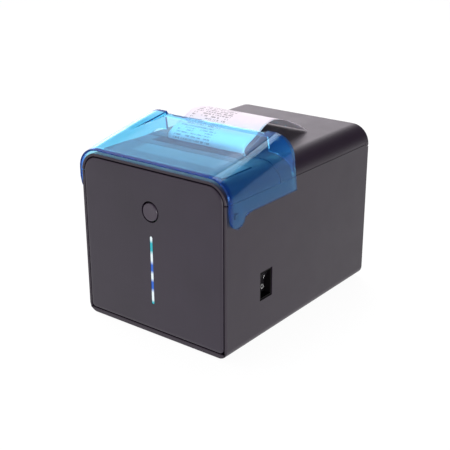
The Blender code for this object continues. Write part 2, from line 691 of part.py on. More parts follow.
def make_rocker():
    """A rocker with two faces that meet in a shallow V, resting with its lower half in."""
    y = SWITCH[0]
    x0, z0 = rocker_axis()
    half_z = SWITCH_TALL / 2 - 0.0033
    half_y = SWITCH_WIDTH / 2 - 0.0022
    rest = radians(ROCKER_TILT / 2)
    outline = []
    for out, up in ((0.0050, -half_z), (0.0034, 0.0), (0.0050, half_z), (-0.0010, half_z * 0.72),
                    (-0.0034, 0.0026), (-0.0034, -0.0026), (-0.0010, -half_z * 0.72)):
        outline.append((x0 + out * cos(rest) + up * sin(rest), z0 - out * sin(rest) + up * cos(rest)))
    return prism("power_rocker", outline, y - half_y, y + half_y, "Y", BLACK)


# ---------------------------------------------------------------- paper
def make_inner_frame():
    """Deck and paper bucket in one moulding."""
    y, z = ROLL_CENTRE
    low = RUNNING
    deck = box("inner_frame", (-INNER + low, FRONT + 0.032, DECK),
               (INNER - low, REAR - WALL - low, DECK_TOP), BLACK)
    half = PAPER_WIDTH / 2 + 0.0015
    centre = (y, z + BUCKET_RADIUS - ROLL_RADIUS - CLEARANCE)
    outer = BUCKET_RADIUS + BUCKET_WALL

    def trough(name, radius, side, top):
        points = [(y + radius, top), *reversed(arc(centre, radius, 180, 360, 20)), (y - radius, top)]
        return prism(name, points, -side, side, "X")

    body = trough("bucket_body", outer, half + BUCKET_WALL, DECK + DECK_THICKNESS / 2)
    hollow = trough("bucket_hollow", BUCKET_RADIUS, half, TOP + 0.02)
    join(deck, body)
    cut(deck, hollow)
    well = box("mechanism_well", (-CHASSIS_INNER - SHEET - RUNNING, chassis_front() - RUNNING, DECK - 0.01),
               (CHASSIS_INNER + SHEET + RUNNING, chassis_back() + RUNNING, TOP))
    gear_room = box("gear_room",
                    (GEAR_X - GEAR_WIDTH - 0.001, MOTOR[0] - PINION_RADIUS - 0.003, DECK - 0.01),
                    (-CHASSIS_INNER, IDLER[0] + IDLER_RADIUS + 0.003, TOP))
    return cut(deck, well, gear_room)


def make_roll():
    y, z = ROLL_CENTRE
    roll = rod("paper_roll", ROLL_RADIUS, -PAPER_WIDTH / 2, PAPER_WIDTH / 2, "X", (y, z), PAPER, steps=64)
    bore = rod("roll_bore", CORE_RADIUS + CLEARANCE, -PAPER_WIDTH, PAPER_WIDTH, "X", (y, z))
    cut(roll, bore)
    core = rod("roll_core", CORE_RADIUS, -PAPER_WIDTH / 2, PAPER_WIDTH / 2, "X", (y, z), CARD)
    core_bore = rod("core_bore", CORE_RADIUS - CORE_WALL, -PAPER_WIDTH, PAPER_WIDTH, "X", (y, z))
    cut(core, core_bore)
    return roll, core


def make_receipt():
    """The printed strip: out of the slot, over in an arch, down to the lid's top."""
    ridge = [(0.0, 0.0002 - WALL), (0.0008, 0.0036), (0.0056, 0.0072), (0.0117, 0.0100), (0.0204, 0.0145),
             (0.0290, 0.0186),
             (0.0370, 0.0204), (0.0440, 0.0200), (0.0520, 0.0180), (0.0610, 0.0150), (0.0710, 0.0108),
             (0.0800, 0.0066), (0.0910, 0.0006)]
    low = [(SLOT_Y + along, TOP + up) for along, up in ridge]
    high = []
    for i, (y, z) in enumerate(low):
        before, after = low[max(i - 1, 0)], low[min(i + 1, len(low) - 1)]
        run, climb = after[0] - before[0], after[1] - before[1]
        normal = (-climb / hypot(run, climb), run / hypot(run, climb))
        high.append((y + normal[0] * PAPER_THICKNESS, z + normal[1] * PAPER_THICKNESS))
    return prism("receipt", low + high[::-1], -PAPER_WIDTH / 2, PAPER_WIDTH / 2, "X", PAPER)


# ---------------------------------------------------------------- print mechanism
HEAD_FACE = PLATEN[0] - PLATEN_RADIUS - PAPER_THICKNESS
HEAD_LOW = BLADE_Z - HEAD_BLADE_GAP - HEAD_HEIGHT
BRACKET_THICKNESS = 0.006
BRACKET_BACK = HEAD_FACE - HEAD_THICKNESS - CLEARANCE
BRACKET_FRONT = BRACKET_BACK - BRACKET_THICKNESS
HEAD_AXIS = (BRACKET_FRONT + BRACKET_THICKNESS / 2, HEAD_LOW - 0.006)
SPRING_LENGTH = 0.010
CHASSIS_LOW = BASE + 0.083


def chassis_front():
    return BRACKET_FRONT - SPRING_LENGTH - 2 * CLEARANCE - SHEET


def chassis_back():
    return PLATEN[0] + PLATEN_RADIUS + 0.003


IDLER_RADIUS = GEAR_MODULE * IDLER_TEETH / 2
PINION_RADIUS = GEAR_MODULE * PINION_TEETH / 2
PLATEN_GEAR_RADIUS = GEAR_MODULE * PLATEN_TEETH / 2
IDLER = (PLATEN[0], PLATEN[1] - PLATEN_GEAR_RADIUS - IDLER_RADIUS)
PINION_ANGLE = radians(212)
MOTOR = (IDLER[0] + (IDLER_RADIUS + PINION_RADIUS) * cos(PINION_ANGLE),
         IDLER[1] + (IDLER_RADIUS + PINION_RADIUS) * sin(PINION_ANGLE))
GEAR_X = -CHASSIS_INNER - SHEET - 0.0015


def make_chassis():
    front, back = chassis_front(), chassis_back()
    half = CHASSIS_INNER + SHEET
    high = PLATEN[1] + 0.004
    frame = box("mechanism_chassis", (-half, front, CHASSIS_LOW), (half, back, high), STEEL)
    inside = box("chassis_inside", (-CHASSIS_INNER, front + SHEET, CHASSIS_LOW + SHEET),
                 (CHASSIS_INNER, back + 0.01, TOP))
    cut(frame, inside)
    bearing = bearing_radius() + RUNNING
    notch = box("bearing_notch", (-half - 0.01, PLATEN[0] - bearing, PLATEN[1]),
                (half + 0.01, PLATEN[0] + bearing, TOP))
    seat = rod("bearing_seat", bearing, -half - 0.01, half + 0.01, "X", PLATEN, steps=24)
    pin_hole = rod("head_pin_hole", 0.0015 + CLEARANCE, -half - 0.01, half + 0.01, "X", HEAD_AXIS, steps=16)
    axle_hole = rod("idler_axle_hole", 0.0020 + CLEARANCE, -half - 0.01, -CHASSIS_INNER + 0.001, "X", IDLER,
                    steps=16)
    boss_hole = rod("motor_boss_hole", 0.003, -half - 0.01, -CHASSIS_INNER + 0.001, "X", MOTOR, steps=20)
    cut(frame, notch, seat, pin_hole, axle_hole, boss_hole)
    for side in (-1, 1):
        ear_low = DECK_TOP + CLEARANCE
        low_x, high_x = sorted((side * (half - SHEET / 2), side * (half + 0.008)))
        ear = box(f"chassis_ear_{side}", (low_x, front + 0.0002, ear_low),
                  (high_x, front + 0.010, ear_low + SHEET))
        join(frame, ear)
    return frame


def bearing_radius():
    return PLATEN_SHAFT_RADIUS + 0.0017


def make_head():
    half = PAPER_WIDTH / 2 + 0.002
    head = box("thermal_head", (-half, HEAD_FACE - HEAD_THICKNESS, HEAD_LOW),
               (half, HEAD_FACE, HEAD_LOW + HEAD_HEIGHT), ALUMINIUM)
    round_edges(head, 0.0008)
    wide = CHASSIS_INNER - RUNNING
    bracket = box("head_bracket", (-wide, BRACKET_FRONT, HEAD_AXIS[1] - 0.003),
                  (wide, BRACKET_BACK, HEAD_LOW + HEAD_HEIGHT), ALUMINIUM)
    bore = rod("bracket_bore", 0.0015 + CLEARANCE, -0.1, 0.1, "X", HEAD_AXIS, steps=16)
    cut(bracket, bore)
    for i in range(5):
        z = HEAD_LOW + HEAD_HEIGHT * (i + 0.5) / 5
        fin = box(f"bracket_slot_{i}", (-wide + 0.012, BRACKET_FRONT - 0.01, z - 0.0006),
                  (-0.006, BRACKET_FRONT + 0.0025, z + 0.0006))
        cut(bracket, fin)
    half_pin = CHASSIS_INNER + SHEET + 0.0005
    pin = rod("head_pivot_pin", 0.0015, -half_pin, half_pin, "X", HEAD_AXIS, STEEL, steps=16)
    return head, bracket, pin


def make_springs():
    """Two compression springs between the chassis and the head's bracket."""
    turns, per_turn, wire = 5, 10, 0.00035
    radius = 0.0030
    length = SPRING_LENGTH - 2 * wire
    for side, name in ((-1, "head_spring_left"), (1, "head_spring_right")):
        curve = bpy.data.curves.new(name, "CURVE")
        curve.dimensions = "3D"
        curve.bevel_depth = wire
        curve.bevel_resolution = 2
        curve.use_fill_caps = True
        line = curve.splines.new("POLY")
        line.points.add(turns * per_turn)
        for i, point in enumerate(line.points):
            angle = 2 * pi * i / per_turn
            y = chassis_front() + SHEET + CLEARANCE + wire + length * i / (turns * per_turn)
            point.co = (side * 0.022 + radius * cos(angle), y, PLATEN[1] + 0.001 + radius * sin(angle), 1.0)
        add(name, curve, STEEL)


def make_platen():
    half = PAPER_WIDTH / 2 + 0.0015
    roller = rod("platen_roller", PLATEN_RADIUS, -half, half, "X", PLATEN, RUBBER, steps=40)
    bore = rod("roller_bore", PLATEN_SHAFT_RADIUS + CLEARANCE, -0.1, 0.1, "X", PLATEN, steps=24)
    cut(roller, bore)
    shaft_left = GEAR_X - GEAR_WIDTH - 0.0010
    shaft_right = CHASSIS_INNER + SHEET + 0.002
    shaft = rod("platen_shaft", PLATEN_SHAFT_RADIUS, shaft_left, shaft_right, "X", PLATEN, STEEL, steps=24)
    gear = prism("platen_gear", gear_outline(PLATEN_TEETH, PLATEN, -pi / 2), GEAR_X - GEAR_WIDTH, GEAR_X,
                 "X", GEARS)
    gear_bore = rod("platen_gear_bore", PLATEN_SHAFT_RADIUS + CLEARANCE, -0.1, 0.0, "X", PLATEN, steps=24)
    cut(gear, gear_bore)
    return roller, shaft, gear


def make_bearings():
    bearings = []
    for side, name in ((-1, "platen_bearing_left"), (1, "platen_bearing_right")):
        low, high = sorted((side * (CHASSIS_INNER - 0.0006), side * (CHASSIS_INNER + SHEET + 0.0008)))
        bush = rod(name, bearing_radius(), low, high, "X", PLATEN, GEARS, steps=24)
        bore = rod(name + "_bore", PLATEN_SHAFT_RADIUS + CLEARANCE, -0.1, 0.1, "X", PLATEN, steps=24)
        bearings.append(cut(bush, bore))
    return bearings


def make_holder():
    """Bracket under the lid's front edge with an ear at each end of the roller."""
    high = TOP - WALL - CLEARANCE
    low = BLADE_Z + 2 * BLADE_THICKNESS + 2 * RUNNING
    ear_inner = PAPER_WIDTH / 2 + 0.0019
    ear_outer = CHASSIS_INNER - 0.0012
    bar = box("platen_holder", (-ear_outer, LID_FRONT + 0.001, low), (ear_outer, LID_FRONT + 0.024, high),
              BLACK)
    for side in (-1, 1):
        low_x, high_x = sorted((side * ear_inner, side * ear_outer))
        ear = box(f"holder_ear_{side}", (low_x, PLATEN[0] - 0.0045, PLATEN[1] - 0.0045),
                  (high_x, LID_FRONT + 0.020, low + 0.0005))
        join(bar, ear)
    bore = rod("holder_bore", PLATEN_SHAFT_RADIUS + RUNNING, -0.1, 0.1, "X", PLATEN, steps=24)
    return cut(bar, bore)


def make_drive():
    gap = radians(90)
    idler_phase = gap + pi / IDLER_TEETH
    idler = prism("idler_gear", gear_outline(IDLER_TEETH, IDLER, idler_phase), GEAR_X - GEAR_WIDTH, GEAR_X,
                  "X", GEARS)
    bore = rod("idler_bore", 0.0020 + CLEARANCE, -0.1, 0.0, "X", IDLER, steps=16)
    cut(idler, bore)
    axle = rod("idler_axle", 0.0020, GEAR_X - GEAR_WIDTH - 0.001, -CHASSIS_INNER - CLEARANCE, "X", IDLER,
               STEEL, steps=16)
    idler_teeth_before = (PINION_ANGLE - idler_phase) / (2 * pi / IDLER_TEETH)
    shift = idler_teeth_before - round(idler_teeth_before)
    pinion_phase = PINION_ANGLE + pi + (0.5 + shift) * 2 * pi / PINION_TEETH
    pinion = prism("motor_pinion", gear_outline(PINION_TEETH, MOTOR, pinion_phase), GEAR_X - GEAR_WIDTH,
                   GEAR_X, "X", GEARS)
    pinion_bore = rod("pinion_bore", 0.0012 + CLEARANCE, -0.1, 0.0, "X", MOTOR, steps=16)
    cut(pinion, pinion_bore)
    return idler, axle, pinion


def make_motor():
    """Stepper motor inside the chassis, its shaft out through the left plate."""
    face = -CHASSIS_INNER + CLEARANCE
    motor = rod("feed_motor", 0.0112, face, face + 0.018, "X", MOTOR, STEEL, steps=32)
    boss = rod("motor_boss", 0.0026, face - SHEET, face + 0.001, "X", MOTOR, steps=20)
    shaft = rod("motor_shaft", 0.0012, GEAR_X - GEAR_WIDTH - 0.0005, face, "X", MOTOR, steps=12)
    return join(motor, boss, shaft)


# ---------------------------------------------------------------- cutter
RACK_X = -0.008                 # pitch line of the rack
CUTTER_RADIUS = GEAR_MODULE * CUTTER_TEETH / 2
CUTTER_AXIS = (RACK_X + CUTTER_RADIUS, FRONT + 0.030)
BLADE_HALF = PAPER_WIDTH / 2 + 0.0012
BLADE_EDGE = SLOT_Y - 0.0026
BLADE_BACK = BLADE_EDGE - 0.024
CUTTER_BASE_TOP = BLADE_Z - RUNNING
CUTTER_BASE_LOW = PLATEN[1] + 0.004 + CLEARANCE
TEETH_PACE = pi * GEAR_MODULE


def make_cutter_base():
    y0, y1 = CUTTER_AXIS[1] - 0.012, BRACKET_FRONT - 0.0015
    plate = box("cutter_base", (-BLADE_HALF - 0.002, y0, CUTTER_BASE_LOW),
                (BLADE_HALF + 0.002, y1, CUTTER_BASE_TOP), BLACK)
    shaft_way = rod("cutter_shaft_way", 0.0016, 0.0, TOP, "Z", CUTTER_AXIS, steps=16)
    cut(plate, shaft_way)
    for side in (-1, 1):
        x = side * 0.034
        leg = box(f"cutter_leg_{side}", (x - 0.003, FRONT + 0.0335, DECK_TOP + CLEARANCE),
                  (x + 0.003, FRONT + 0.0395, CUTTER_BASE_TOP - 0.001))
        join(plate, leg)
        guide_x = side * (BLADE_HALF + RUNNING + 0.0008)
        guide = box(f"blade_guide_{side}", (guide_x - 0.0008, BLADE_BACK - 0.002, CUTTER_BASE_TOP - 0.001),
                    (guide_x + 0.0008, y1 - 0.001, BLADE_Z + BLADE_THICKNESS))
        join(plate, guide)
    return plate


def rack_outline():
    """The blade with its tail, whose right edge is a rack."""
    root, tip = RACK_X - 1.15 * GEAR_MODULE, RACK_X + 0.85 * GEAR_MODULE
    tail = CUTTER_AXIS[1] - BLADE_STROKE - 1.5 * TEETH_PACE
    points = [(BLADE_HALF, BLADE_BACK), (BLADE_HALF, BLADE_EDGE), (0.0, BLADE_EDGE - 0.0015),
              (-BLADE_HALF, BLADE_EDGE), (-BLADE_HALF, BLADE_BACK), (RACK_X - 0.008, BLADE_BACK),
              (RACK_X - 0.008, tail), (root, tail)]
    first = round((tail - CUTTER_AXIS[1]) / TEETH_PACE) + 1
    last = int((BLADE_BACK - CUTTER_AXIS[1]) / TEETH_PACE)
    for i in range(first, last):
        y = CUTTER_AXIS[1] + i * TEETH_PACE
        points += [(root, y - 0.27 * TEETH_PACE), (tip, y - 0.11 * TEETH_PACE),
                   (tip, y + 0.11 * TEETH_PACE), (root, y + 0.27 * TEETH_PACE)]
    points.append((root, BLADE_BACK))
    return points


def make_cutter():
    blade = prism("moving_blade", rack_outline(), BLADE_Z, BLADE_Z + BLADE_THICKNESS, "Z", STEEL)
    fixed_low = BLADE_Z + BLADE_THICKNESS + 2 * RUNNING - CLEARANCE
    fixed = box("fixed_blade", (-BLADE_HALF, LID_FRONT + 0.0012, fixed_low),
                (BLADE_HALF, LID_FRONT + 0.009, fixed_low + BLADE_THICKNESS), STEEL)
    phase = pi + pi / CUTTER_TEETH
    pinion = prism("cutter_pinion", gear_outline(CUTTER_TEETH, CUTTER_AXIS, phase), BLADE_Z,
                   BLADE_Z + 0.0022, "Z", GEARS)
    bore = rod("cutter_pinion_bore", 0.0010 + CLEARANCE, 0, TOP, "Z", CUTTER_AXIS, steps=16)
    cut(pinion, bore)
    top = CUTTER_BASE_LOW - CLEARANCE
    motor = rod("cutter_motor", 0.0062, top - 0.018, top, "Z", CUTTER_AXIS, STEEL, steps=24)
    shaft = rod("cutter_shaft", 0.0010, top - 0.001, BLADE_Z + 0.0026, "Z", CUTTER_AXIS, steps=12)
    join(motor, shaft)
    return blade, fixed, pinion, motor


# ---------------------------------------------------------------- boards and sockets
BOARD_HALF = 0.052
BOARD_FRONT = FRONT + 0.050


def board_posts():
    return [(x, y) for x in (-0.046, 0.046) for y in (BOARD_FRONT + 0.008, REAR - 0.040)]


def make_main_board():
    board = box("main_board", (-BOARD_HALF, BOARD_FRONT, BOARD_BOTTOM),
                (BOARD_HALF, REAR - 0.004, BOARD_TOP), BOARD)
    for i, (x, y, width, depth, height) in enumerate((
            (-0.010, -0.005, 0.016, 0.016, 0.0016), (0.020, -0.018, 0.010, 0.007, 0.0014),
            (-0.034, 0.010, 0.009, 0.009, 0.009), (0.034, 0.015, 0.012, 0.008, 0.006))):
        chip = box(f"board_chip_{i}", (x - width / 2, y - depth / 2, BOARD_TOP - 0.0004),
                   (x + width / 2, y + depth / 2, BOARD_TOP + height))
        join(board, chip)
    for i, (x, y) in enumerate(board_posts()):
        cut(board,
            rod(f"board_hole_{i}", 0.0015, BOARD_BOTTOM - 0.01, BOARD_TOP + 0.01, "Z", (x, y), steps=12))
    return board


def make_board_screws():
    """Screws in two of the four posts, at opposite corners."""
    low = BOARD_TOP + CLEARANCE
    for i, (x, y) in enumerate(board_posts()[::3]):
        head = rod(f"board_screw_{i + 1}", 0.0026, low, low + 0.0016, "Z", (x, y), STEEL, steps=16)
        shank = rod(f"board_shank_{i}", 0.0012, BOARD_BOTTOM - 0.004, low + 0.0008, "Z", (x, y), steps=12)
        join(head, shank)


def make_sockets():
    sockets = []
    for name, x, width, height in SOCKETS:
        front, back = REAR - 0.0185, REAR - 0.0006
        body = box(name, (x - width / 2, front, SOCKET_BOTTOM),
                   (x + width / 2, back, SOCKET_BOTTOM + height),
                   BLACK if name in ("power_jack", "drawer_port") else STEEL)
        rim = 0.0016
        cavity = box(name + "_cavity", (x - width / 2 + rim, back - 0.012, SOCKET_BOTTOM + rim),
                     (x + width / 2 - rim, REAR + 0.01, SOCKET_BOTTOM + height - rim))
        cut(body, cavity)
        sockets.append(body)
    return sockets


def make_sensor():
    y, z = ROLL_CENTRE
    right = -(PAPER_WIDTH / 2 + 0.0015 + BUCKET_WALL + CLEARANCE)
    return box("paper_sensor", (right - 0.008, y - 0.006, z - 0.024), (right, y + 0.006, z - 0.012), BLACK)


# ---------------------------------------------------------------- build
make_case()
make_base()
make_base_screws()
make_feet()
make_top_cover()
make_access_cover()
make_front_panel()
make_light()
button = make_button()
make_panel_board()
lid = make_lid()
make_lid_pins()
hood = make_hood()
make_hood_pins()
make_switch()
rocker = make_rocker()
make_inner_frame()
roll, core = make_roll()
receipt = make_receipt()
make_chassis()
head, bracket, pivot_pin = make_head()
make_springs()
roller, shaft, platen_gear = make_platen()
bearings = make_bearings()
holder = make_holder()
idler, axle, pinion = make_drive()
make_motor()
make_cutter_base()
blade, fixed_blade, cutter_pinion, cutter_motor = make_cutter()
make_main_board()
make_board_screws()
make_sockets()
make_sensor()

carry("lid_axis", (0, HINGE_Y, HINGE_Z), (lid, holder, *bearings, fixed_blade, receipt))
carry("platen_axis", (0, *PLATEN), (roller, shaft, platen_gear))
carry("hood_axis", (0, *PIVOT), (hood,))
carry("button_axis", (0, FRONT, BUTTON_Z), (button,))
carry("rocker_axis", (rocker_axis()[0], SWITCH[0], rocker_axis()[1]), (rocker,))
carry("roll_axis", (0, *ROLL_CENTRE), (roll, core))
carry("head_axis", (0, *HEAD_AXIS), (head, bracket))
carry("idler_axis", (0, *IDLER), (idler,))
carry("pinion_axis", (0, *MOTOR), (pinion,))
carry("blade_axis", (0, BLADE_EDGE, BLADE_Z), (blade,))
carry("cutter_pinion_axis", (*CUTTER_AXIS, BLADE_Z), (cutter_pinion,))
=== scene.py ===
"""Receipt printer: its looks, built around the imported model. Metres, +Z up, the front faces -Y."""
import json
from math import cos, pi, radians, sin

import bmesh
import bpy
from mathutils import Matrix, Vector


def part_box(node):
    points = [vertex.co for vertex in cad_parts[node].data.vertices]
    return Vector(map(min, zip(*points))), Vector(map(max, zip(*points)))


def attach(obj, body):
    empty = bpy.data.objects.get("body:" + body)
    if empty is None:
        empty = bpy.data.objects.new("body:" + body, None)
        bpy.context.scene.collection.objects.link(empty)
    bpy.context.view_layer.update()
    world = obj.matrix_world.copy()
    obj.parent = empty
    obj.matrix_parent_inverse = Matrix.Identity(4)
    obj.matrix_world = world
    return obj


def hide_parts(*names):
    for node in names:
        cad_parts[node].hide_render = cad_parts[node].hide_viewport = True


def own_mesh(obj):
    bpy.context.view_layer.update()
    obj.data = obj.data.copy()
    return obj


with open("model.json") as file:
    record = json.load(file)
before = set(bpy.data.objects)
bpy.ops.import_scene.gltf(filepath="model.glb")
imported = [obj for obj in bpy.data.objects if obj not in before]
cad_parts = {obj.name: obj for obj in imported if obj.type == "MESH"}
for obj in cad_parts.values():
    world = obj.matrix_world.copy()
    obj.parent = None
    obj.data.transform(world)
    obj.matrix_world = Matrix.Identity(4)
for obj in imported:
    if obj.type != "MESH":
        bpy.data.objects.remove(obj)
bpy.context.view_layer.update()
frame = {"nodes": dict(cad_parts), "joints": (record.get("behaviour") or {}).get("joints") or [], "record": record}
nodes = frame["nodes"]
collection = bpy.context.scene.collection

# ---------------------------------------------------------------- camera
CAMERA_PLACE = Vector((0.4515, -0.5929, 0.3551))
CAMERA_AZIMUTH = radians(37.70)
CAMERA_ELEVATION = radians(21.233)
CAMERA_ROLL = radians(-0.14)
CAMERA_LENS = 73.27


def make_camera():
    flat = cos(CAMERA_ELEVATION)
    back = Vector((sin(CAMERA_AZIMUTH) * flat, -cos(CAMERA_AZIMUTH) * flat, sin(CAMERA_ELEVATION)))
    right = Vector((cos(CAMERA_AZIMUTH), sin(CAMERA_AZIMUTH), 0))
    up = back.cross(right)
    turned_right = cos(CAMERA_ROLL) * right + sin(CAMERA_ROLL) * up
    turned_up = cos(CAMERA_ROLL) * up - sin(CAMERA_ROLL) * right
    data = bpy.data.cameras.new("camera")
    data.lens = CAMERA_LENS
    camera = bpy.data.objects.new("camera", data)
    camera.matrix_world = Matrix.Translation(CAMERA_PLACE) @ Matrix(
        (turned_right, turned_up, back)).transposed().to_4x4()
    collection.objects.link(camera)
    bpy.context.scene.camera = camera


# ---------------------------------------------------------------- shader helpers
class Shader:
    """A material's node tree with short calls to add and wire nodes."""

    def __init__(self, name):
        self.material = bpy.data.materials.new(name)
        self.material.use_nodes = True
        self.tree = self.material.node_tree
        self.tree.nodes.clear()
        self.output = self.tree.nodes.new("ShaderNodeOutputMaterial")

    def add(self, kind, settings=None, **inputs):
        """A node with its settings, and its inputs by name: a socket is linked, a value is set."""
        node = self.tree.nodes.new("ShaderNode" + kind)
        for key, value in (settings or {}).items():
            setattr(node, key, value)
        for key, value in inputs.items():
            label = key.replace("_", " ")
            socket = node.inputs[int(key[1:])] if key[0] == "i" and key[1:].isdigit() else node.inputs[label]
            if isinstance(value, bpy.types.NodeSocket):
                self.tree.links.new(value, socket)
            else:
                socket.default_value = value
        return node

    def finish(self, surface):
        self.tree.links.new(surface, self.output.inputs["Surface"])
        return self.material


def rgba(colour, factor=1.0):
    return (*(min(1.0, channel * factor) for channel in colour), 1.0)


def varied(shader, place, colour, scale, spread):
    """A colour that drifts a little over the surface."""
    noise = shader.add("TexNoise", Vector=place, Scale=scale, Detail=3.0)
    ramp = shader.add("ValToRGB", Fac=noise.outputs["Fac"])
    ramp.color_ramp.elements[0].position = 0.3
    ramp.color_ramp.elements[1].position = 0.7
    ramp.color_ramp.elements[0].color = rgba(colour, 1 - spread)
    ramp.color_ramp.elements[1].color = rgba(colour, 1 + spread)
    return ramp.outputs["Color"]


def moulded(name, colour, roughness, grain=0.0004, depth=0.00002, spread=0.06, streaks=0.0, gloss=0.5):
    """Moulded plastic with a fine eroded grain, a slow drift of colour and uneven gloss."""
    shader = Shader(name)
    place = shader.add("TexCoord").outputs["Object"]
    base = varied(shader, place, colour, 22.0, spread)
    if streaks:
        stretched = shader.add("Mapping", Vector=place, Scale=(900.0, 900.0, 9.0))
        lines = shader.add("TexNoise", Vector=stretched.outputs["Vector"], Scale=1.0, Detail=2.0)
        shade = shader.add("MapRange", Value=lines.outputs["Fac"], To_Min=1 - streaks, To_Max=1 + streaks)
        mixed = shader.add("Mix", {"data_type": "RGBA", "blend_type": "MULTIPLY"}, i0=1.0, i6=base,
                           i7=shade.outputs["Result"])
        base = mixed.outputs[2]
    pores = shader.add("TexNoise", Vector=place, Scale=1 / grain, Detail=2.0)
    patches = shader.add("TexNoise", Vector=place, Scale=60.0, Detail=4.0)
    dull = shader.add("MapRange", Value=patches.outputs["Fac"], To_Min=roughness - 0.04,
                      To_Max=roughness + 0.04)
    bump = shader.add("Bump", Height=pores.outputs["Fac"], Strength=0.35, Distance=depth)
    surface = shader.add("BsdfPrincipled", Base_Color=base, Roughness=dull.outputs["Result"],
                         Normal=bump.outputs["Normal"])
    surface.inputs["Specular IOR Level"].default_value = gloss
    return shader.finish(surface.outputs["BSDF"])


def metal(name, colour, roughness, scratch=(40.0, 40.0, 2200.0)):
    """Bare or plated metal with fine scratches along one direction."""
    shader = Shader(name)
    place = shader.add("TexCoord").outputs["Object"]
    base = varied(shader, place, colour, 90.0, 0.08)
    stretched = shader.add("Mapping", Vector=place, Scale=scratch)
    lines = shader.add("TexNoise", Vector=stretched.outputs["Vector"], Scale=1.0, Detail=3.0)
    dull = shader.add("MapRange", Value=lines.outputs["Fac"], To_Min=roughness - 0.08, To_Max=roughness + 0.1)
    bump = shader.add("Bump", Height=lines.outputs["Fac"], Strength=0.2, Distance=0.00001)
    surface = shader.add("BsdfPrincipled", Base_Color=base, Metallic=1.0, Roughness=dull.outputs["Result"],
                         Normal=bump.outputs["Normal"])
    return shader.finish(surface.outputs["BSDF"])


# ---------------------------------------------------------------- materials
def make_board():
    """Green solder mask with pale traces."""
    shader = Shader("board")
    place = shader.add("TexCoord").outputs["Object"]
    traces = shader.add("TexBrick", {"offset": 0.37}, Vector=place, Scale=160.0, Mortar_Size=0.05,
                        Color1=rgba((0.012, 0.10, 0.045)), Color2=rgba((0.016, 0.13, 0.055)),
                        Mortar=rgba((0.03, 0.24, 0.10)))
    surface = shader.add("BsdfPrincipled", Base_Color=traces.outputs["Color"], Roughness=0.35)
    return shader.finish(surface.outputs["BSDF"])


LIGHT_STOPS = ((0.0, "cyan"), (0.05, "cyan"), (0.09, "white"), (0.19, "white"),
               (0.25, "blue"), (0.34, "blue"), (0.39, "white"), (0.45, "white"),
               (0.50, "blue"), (0.58, "blue"), (0.64, "white"), (0.72, "white"),
               (0.78, "cyan"), (0.88, "cyan"), (0.93, "white"), (1.0, "white"))
LIGHT_COLOURS = {"white": (0.85, 0.96, 1.0), "cyan": (0.0, 0.46, 0.55), "blue": (0.0, 0.11, 0.62)}


def make_light():
    """Lit light guide whose colour runs through white, cyan and blue from its foot to its top."""
    low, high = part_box("led_light_bar")
    shader = Shader("light")
    place = shader.add("TexCoord").outputs["Object"]
    height = shader.add("SeparateXYZ", Vector=place).outputs["Z"]
    share = shader.add("MapRange", Value=height, From_Min=low.z, From_Max=high.z)
    ramp = shader.add("ValToRGB", Fac=share.outputs["Result"])
    stops = ramp.color_ramp
    stops.elements[0].position = LIGHT_STOPS[0][0]
    stops.elements[1].position = LIGHT_STOPS[-1][0]
    for position, _ in LIGHT_STOPS[1:-1]:
        stops.elements.new(position)
    for element, (_, colour) in zip(stops.elements, LIGHT_STOPS):
        element.color = rgba(LIGHT_COLOURS[colour])
    surface = shader.add("BsdfPrincipled", Base_Color=rgba((0.01, 0.012, 0.015)), Roughness=0.5,
                         Emission_Color=ramp.outputs["Color"], Emission_Strength=0.95)
    return shader.finish(surface.outputs["BSDF"])


HOOD_TINT = (0.37, 0.83, 0.97)
# painted shade: the front rim's deeper blue stands in for the longer way light takes through the plastic's edge
HOOD_RIM_PAINTED_SHADE = (0.10, 0.27, 0.78)
HOOD_RIM_END, HOOD_TINT_START = 0.0026, 0.0042    # depth behind the front edge where the painted rim shade gives way to the tint
HOOD_INDEX = 1.24
HOOD_MILK, HOOD_MILK_SHARE = (0.03, 0.20, 0.78), 0.055
HOOD_SHADE = (0.64, 0.88, 0.94)                   # what a lamp's light keeps on its way through


def make_hood_plastic():
    """Clear blue plastic, a little milky, with faint waves in its polish and a painted shade of deeper blue on its
    front rim. Lamps shine through it.
    """
    shader = Shader("hood")
    place = shader.add("TexCoord").outputs["Object"]
    waves = shader.add("TexNoise", Vector=place, Scale=45.0, Detail=2.0)
    bump = shader.add("Bump", Height=waves.outputs["Fac"], Strength=0.04, Distance=0.0004)
    depth = shader.add("SeparateXYZ", Vector=place).outputs["Y"]
    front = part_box("splash_cover")[0].y
    # painted rim shade near the front edge, the hood's own tint behind it
    rim = shader.add("MapRange", Value=depth, From_Min=front + HOOD_RIM_END,
                     From_Max=front + HOOD_TINT_START)
    tint = shader.add("Mix", {"data_type": "RGBA"}, i0=rim.outputs["Result"], i6=rgba(HOOD_RIM_PAINTED_SHADE),
                      i7=rgba(HOOD_TINT))
    clear = shader.add("BsdfPrincipled", Base_Color=tint.outputs[2], Roughness=0.02, IOR=HOOD_INDEX,
                       Transmission_Weight=1.0, Normal=bump.outputs["Normal"])
    milk = shader.add("BsdfDiffuse", Color=rgba(HOOD_MILK))
    body = shader.add("MixShader", Fac=HOOD_MILK_SHARE, i1=clear.outputs["BSDF"], i2=milk.outputs["BSDF"])
    passing = shader.add("BsdfTransparent", Color=rgba(HOOD_SHADE))
    path = shader.add("LightPath")
    both = shader.add("MixShader", Fac=path.outputs["Is Shadow Ray"], i1=body.outputs["Shader"],
                      i2=passing.outputs["BSDF"])
    return shader.finish(both.outputs["Shader"])


PRINT_LEFT, PRINT_RIGHT = -0.0345, 0.004      # x of the printed text's edges
LINE_PITCH = 0.0031
INK = (0.20, 0.16, 0.20)
PAPER = (0.87, 0.79, 0.87)
PAPER_GLOW = 0.07               # share of the light that comes through the paper


